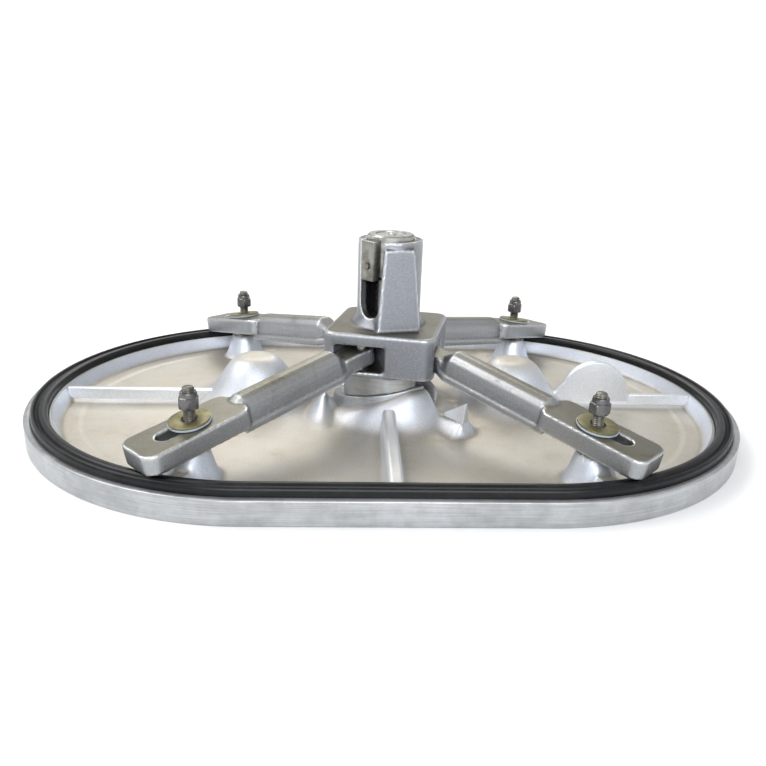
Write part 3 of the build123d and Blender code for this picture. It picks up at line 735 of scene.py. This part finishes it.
def threaded_stud_tree():
    """Four upright threaded studs at the corners of a rectangle."""
    tree = bpy.data.node_groups.new("threaded_studs", "GeometryNodeTree")
    for name in ("Radius", "Pitch", "Thread Depth", "Foot", "Length", "Spread X", "Spread Y"):
        tree.interface.new_socket(name, in_out="INPUT", socket_type="NodeSocketFloat")
    tree.interface.new_socket("Material", in_out="INPUT", socket_type="NodeSocketMaterial")
    tree.interface.new_socket("Geometry", in_out="OUTPUT", socket_type="NodeSocketGeometry")
    entry = tree.nodes.new("NodeGroupInput")
    given = {s.name: Wire(tree, s) for s in entry.outputs if s.name}
    start = Wire(tree)
    length = given["Length"]
    rod = start.node("GeometryNodeMeshCylinder", {"fill_type": "NGON"},
                     {"Vertices": 22, "Side Segments": length / given["Pitch"] * 7,
                      "Radius": given["Radius"], "Depth": length})
    place = start.node("GeometryNodeInputPosition")
    x, y, z = (place.node("ShaderNodeSeparateXYZ", None, {0: place}, i) for i in range(3))
    turn = start.math("ARCTAN2", y, x) / math.tau
    phase = z / given["Pitch"] - turn
    tooth = start.math("PINGPONG", phase, 0.5) * 2
    tip = ((z * 2 - length + 0.0024) * 400).clamp()
    shrink = 1 - given["Thread Depth"] / given["Radius"] * start.math("MAXIMUM", tooth, tip * 1.3)
    moved = start.node("ShaderNodeCombineXYZ", None, {0: x * shrink, 1: y * shrink, 2: z})
    cut = start.node("GeometryNodeSetPosition", None, {"Geometry": rod, "Position": moved})
    lift = start.node("ShaderNodeCombineXYZ", None, {2: given["Foot"] + length / 2})
    raised = start.node("GeometryNodeTransform", None, {"Geometry": cut, "Translation": lift})
    corners = start.node("GeometryNodeMeshGrid", None,
                         {"Size X": given["Spread X"], "Size Y": given["Spread Y"],
                          "Vertices X": 2, "Vertices Y": 2})
    placed = start.node("GeometryNodeInstanceOnPoints", None, {"Points": corners, "Instance": raised})
    real = start.node("GeometryNodeRealizeInstances", None, {"Geometry": placed})
    smooth = start.node("GeometryNodeSetShadeSmooth", None, {0: real, "Shade Smooth": True})
    done = start.node("GeometryNodeSetMaterial", None, {"Geometry": smooth, "Material": given["Material"]})
    leave = tree.nodes.new("NodeGroupOutput")
    tree.links.new(done.socket, leave.inputs[0])
    return tree


def turned_steel(name, base, dark, roughness, metallic=0.95, scale=1.0):
    """Machined or plated steel with handling marks, dull film and specks."""
    material, shader, place = start_material(name)
    cloud = place.noise(110 * scale, 4, 0.6)
    fine = place.noise(1400, 3, 0.6)
    turned = place.noise(1.0, 2, 0.5, (40, 40, 3200))
    film = cloud.step(0.4, 0.68) * 0.6 + fine.step(0.55, 0.72) * 0.3
    connect(shader, base_color=film.clamp().mix(base, dark), roughness=(roughness + film * 0.2).clamp(),
            normal=place.node("ShaderNodeBump", None, {"Strength": 0.2, "Distance": 0.0003,
                                                       "Height": fine * 0.6 + turned * 0.4}))
    shader.inputs["Metallic"].default_value = metallic
    return material


stainless = turned_steel("stainless_finish", shade(132, 129, 122), shade(66, 62, 54), 0.3)
studs = new_object("threaded_guide_studs", [(0, 0, 0)], [])
tree = threaded_stud_tree()
maker = studs.modifiers.new("studs", "NODES")
maker.node_group = tree
sizes = {"Radius": STUD_RADIUS * MM, "Pitch": THREAD_PITCH * MM, "Thread Depth": THREAD_DEPTH * MM,
         "Foot": THREAD_FOOT * MM, "Length": stud_high.z - THREAD_FOOT * MM, "Spread X": 2 * stud_x * MM,
         "Spread Y": 2 * stud_y * MM, "Material": stainless}
for item in tree.interface.items_tree:
    if item.in_out == "INPUT":
        maker[item.identifier] = sizes[item.name]
settle(studs)
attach(studs, "cover")
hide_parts("guide_studs")

# ---- lock nuts and their nylon inserts ---------------------------------------
# A stainless hexagon nut on each stud, with a thinner collar crimped over a nylon ring
# that grips the thread.
nut_foot, nut_top = (corner.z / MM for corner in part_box("lock_nuts"))
NUT_HALF_FLATS, NUT_SIDES, INSERT_SIDES = 7.15, 72, 40
COLLAR = 6.5
NUT_TURNS = {(-1, -1): 8.0, (1, -1): 24.0, (1, 1): 40.0, (-1, 1): 15.0}


def hexagon(azimuth, half_flats):
    return half_flats / np.cos((azimuth + math.pi / 6) % (math.pi / 3) - math.pi / 6)


def lock_nut(x, y, turn):
    """One nut's closed shell: chamfered hexagon, crimped collar, plain bore."""
    foot, top = nut_foot, nut_top
    profile = [(STUD_RADIUS, foot), (6.9, foot), (7.5, foot + 0.25), (8.4, foot + 1.1), (8.4, foot + 5.0),
               (8.4, foot + 7.6), (7.6, foot + 8.5), (6.8, foot + 9.0), (COLLAR, foot + 9.2),
               (COLLAR, top - 1.4), (COLLAR - 0.35, top - 0.5), (COLLAR - 1.1, top), (6.05, top),
               (6.0, top - 0.8), (STUD_RADIUS, top - 0.9)]
    azimuth = np.linspace(0, math.tau, NUT_SIDES, endpoint=False)
    rows = []
    for radius, z in profile + profile[:1]:
        reach = np.minimum(hexagon(azimuth, NUT_HALF_FLATS), radius)
        rows.append(np.stack([x + reach * np.cos(azimuth + turn), y + reach * np.sin(azimuth + turn),
                              np.full(NUT_SIDES, z)], 1))
    return shell_of(np.concatenate(rows), NUT_SIDES)


def insert_ring(x, y):
    """The nylon ring in one nut's collar. Its bore is a little under the stud's diameter."""
    profile = [(radius, nut_top - depth) for radius, depth in (
        (4.3, 2.4), (5.95, 2.4), (5.95, 0.9), (5.5, 0.55), (4.5, 0.6), (4.3, 0.9))]
    return shell_of(lathe_rows(profile + profile[:1], x, y, INSERT_SIDES), INSERT_SIDES)


nuts = gathered("hexagon_lock_nuts", [lock_nut(a * stud_x, b * stud_y, math.radians(turn))
                                      for (a, b), turn in NUT_TURNS.items()])
nuts.data.set_sharp_from_angle(angle=math.radians(28))
nuts.data.materials.append(turned_steel("lock_nut_finish", shade(116, 115, 116), shade(64, 62, 60), 0.27))
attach(nuts, "cover")
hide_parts("lock_nuts")


def nylon(name, base, roughness):
    """Moulded nylon: faintly cloudy, matt, with a little grey dirt."""
    material, shader, place = start_material(name)
    cloud = place.noise(160, 3, 0.6)
    connect(shader, base_color=cloud.step(0.45, 0.75).mix(base, shade(120, 124, 124)),
            normal=place.node("ShaderNodeBump", None, {"Strength": 0.15, "Distance": 0.0003,
                                                       "Height": cloud}))
    shader.inputs["Roughness"].default_value = roughness
    return material


inserts = gathered("nylon_nut_inserts", [insert_ring(a * stud_x, b * stud_y) for a, b in NUT_TURNS])
inserts.data.materials.append(nylon("nylon_insert_finish", shade(196, 200, 196), 0.5))
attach(inserts, "cover")
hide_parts("nut_inserts")

# ---- washers -----------------------------------------------------------------
# Under each nut a large zinc-plated steel washer and, below it, a nylon one that lets the
# arm slide. Both rock with the arm.
SHARP = math.radians(32)


def break_edges(obj, width, angle=SHARP):
    ease = obj.modifiers.new("ease", "BEVEL")
    ease.width, ease.segments, ease.limit_method = width, 2, "ANGLE"
    ease.angle_limit = angle
    settle(obj)
    obj.data.set_sharp_from_angle(angle=SHARP)
    obj.data.materials.clear()


def eased_copy(node, name, width, material, body):
    """A CAD node with its sharp edges broken."""
    made = merged_copy(node, name)
    break_edges(made, width)
    made.data.materials.append(material)
    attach(made, body)
    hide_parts(node)
    return made


plated = turned_steel("plated_washer_finish", shade(138, 132, 98), shade(92, 86, 58), 0.4, 0.8)
washer_nylon = nylon("nylon_washer_finish", shade(160, 172, 182), 0.45)
for where in ARM_PLACES:
    body = "washers_" + where
    eased_copy("steel_washer_" + where, "plated_washer_" + where, 0.0003, plated, body)
    eased_copy("nylon_washer_" + where, "sliding_washer_" + where, 0.0003, washer_nylon, body)

# ---- spindle, its bearing and seals ------------------------------------------
# A turned stainless shaft through the cover, in a bronze bush with two rubber rings, held
# up by a thrust washer and a retaining ring. A square socket in its deck end takes a tool.
shaft_steel = turned_steel("spindle_finish", shade(170, 170, 168), shade(118, 116, 110), 0.26)
bronze = turned_steel("bearing_bronze_finish", shade(176, 140, 88), shade(120, 88, 52), 0.3)
seal_rubber = gasket.data.materials[0]
eased_copy("spindle", "spindle_shaft", 0.0004, shaft_steel, "spindle")
eased_copy("retaining_ring", "spindle_retaining_ring", 0.0002, shaft_steel, "spindle")
eased_copy("spindle_bushing", "bronze_bushing", 0.0003, bronze, "cover")
eased_copy("thrust_washer", "bronze_thrust_washer", 0.0003, bronze, "cover")
seals = merged_copy("spindle_o_rings", "spindle_seal_rings")
seals.data.shade_smooth()
seals.data.materials.append(seal_rubber)
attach(seals, "spindle")
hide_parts("spindle_o_rings")
for where in ARM_PLACES:
    eased_copy("pivot_pin_" + where, "arm_pivot_pin_" + where, 0.0006, shaft_steel, "pin_" + where)

# ---- spindle cap, key and screw ----------------------------------------------
# The turned steel cap on the spindle's upper end, the flat key that stands in the tower's
# slot and drives the hub, and the screw that holds the key.
CAP_TOOL_SIDES = 64


def recessed_cap():
    """The cap with a shallow turned recess and a centre hole in its top face."""
    made = merged_copy("spindle_cap", "turned_spindle_cap")
    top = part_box("spindle_cap")[1].z / MM
    profile = [(14.0, top + 1), (13.6, top - 1.0), (5.6, top - 1.0), (5.4, top - 0.3), (3.4, top - 0.3),
               (3.0, top - 2.2), (0.01, top - 2.6), (0.01, top + 1)]
    rows = lathe_rows(profile + profile[:1], 0, 0, CAP_TOOL_SIDES)
    cutter = gathered("cap_cutter", [shell_of(rows, CAP_TOOL_SIDES, 0.000015)])
    cut = made.modifiers.new("recess", "BOOLEAN")
    cut.object, cut.operation, cut.solver = cutter, "DIFFERENCE", "EXACT"
    settle(made)
    bpy.data.objects.remove(cutter)
    break_edges(made, 0.0005, math.radians(35))
    return made


cap = recessed_cap()
cap.data.materials.append(turned_steel("spindle_cap_finish", shade(176, 176, 172), shade(112, 110, 100),
                                       0.3))
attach(cap, "spindle")
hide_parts("spindle_cap")
key_steel = turned_steel("drive_key_finish", shade(150, 150, 144), shade(100, 98, 88), 0.34)
eased_copy("drive_key", "flat_drive_key", 0.0008, key_steel, "spindle")
eased_copy("key_set_screw", "key_fixing_screw", 0.0004, stainless, "spindle")
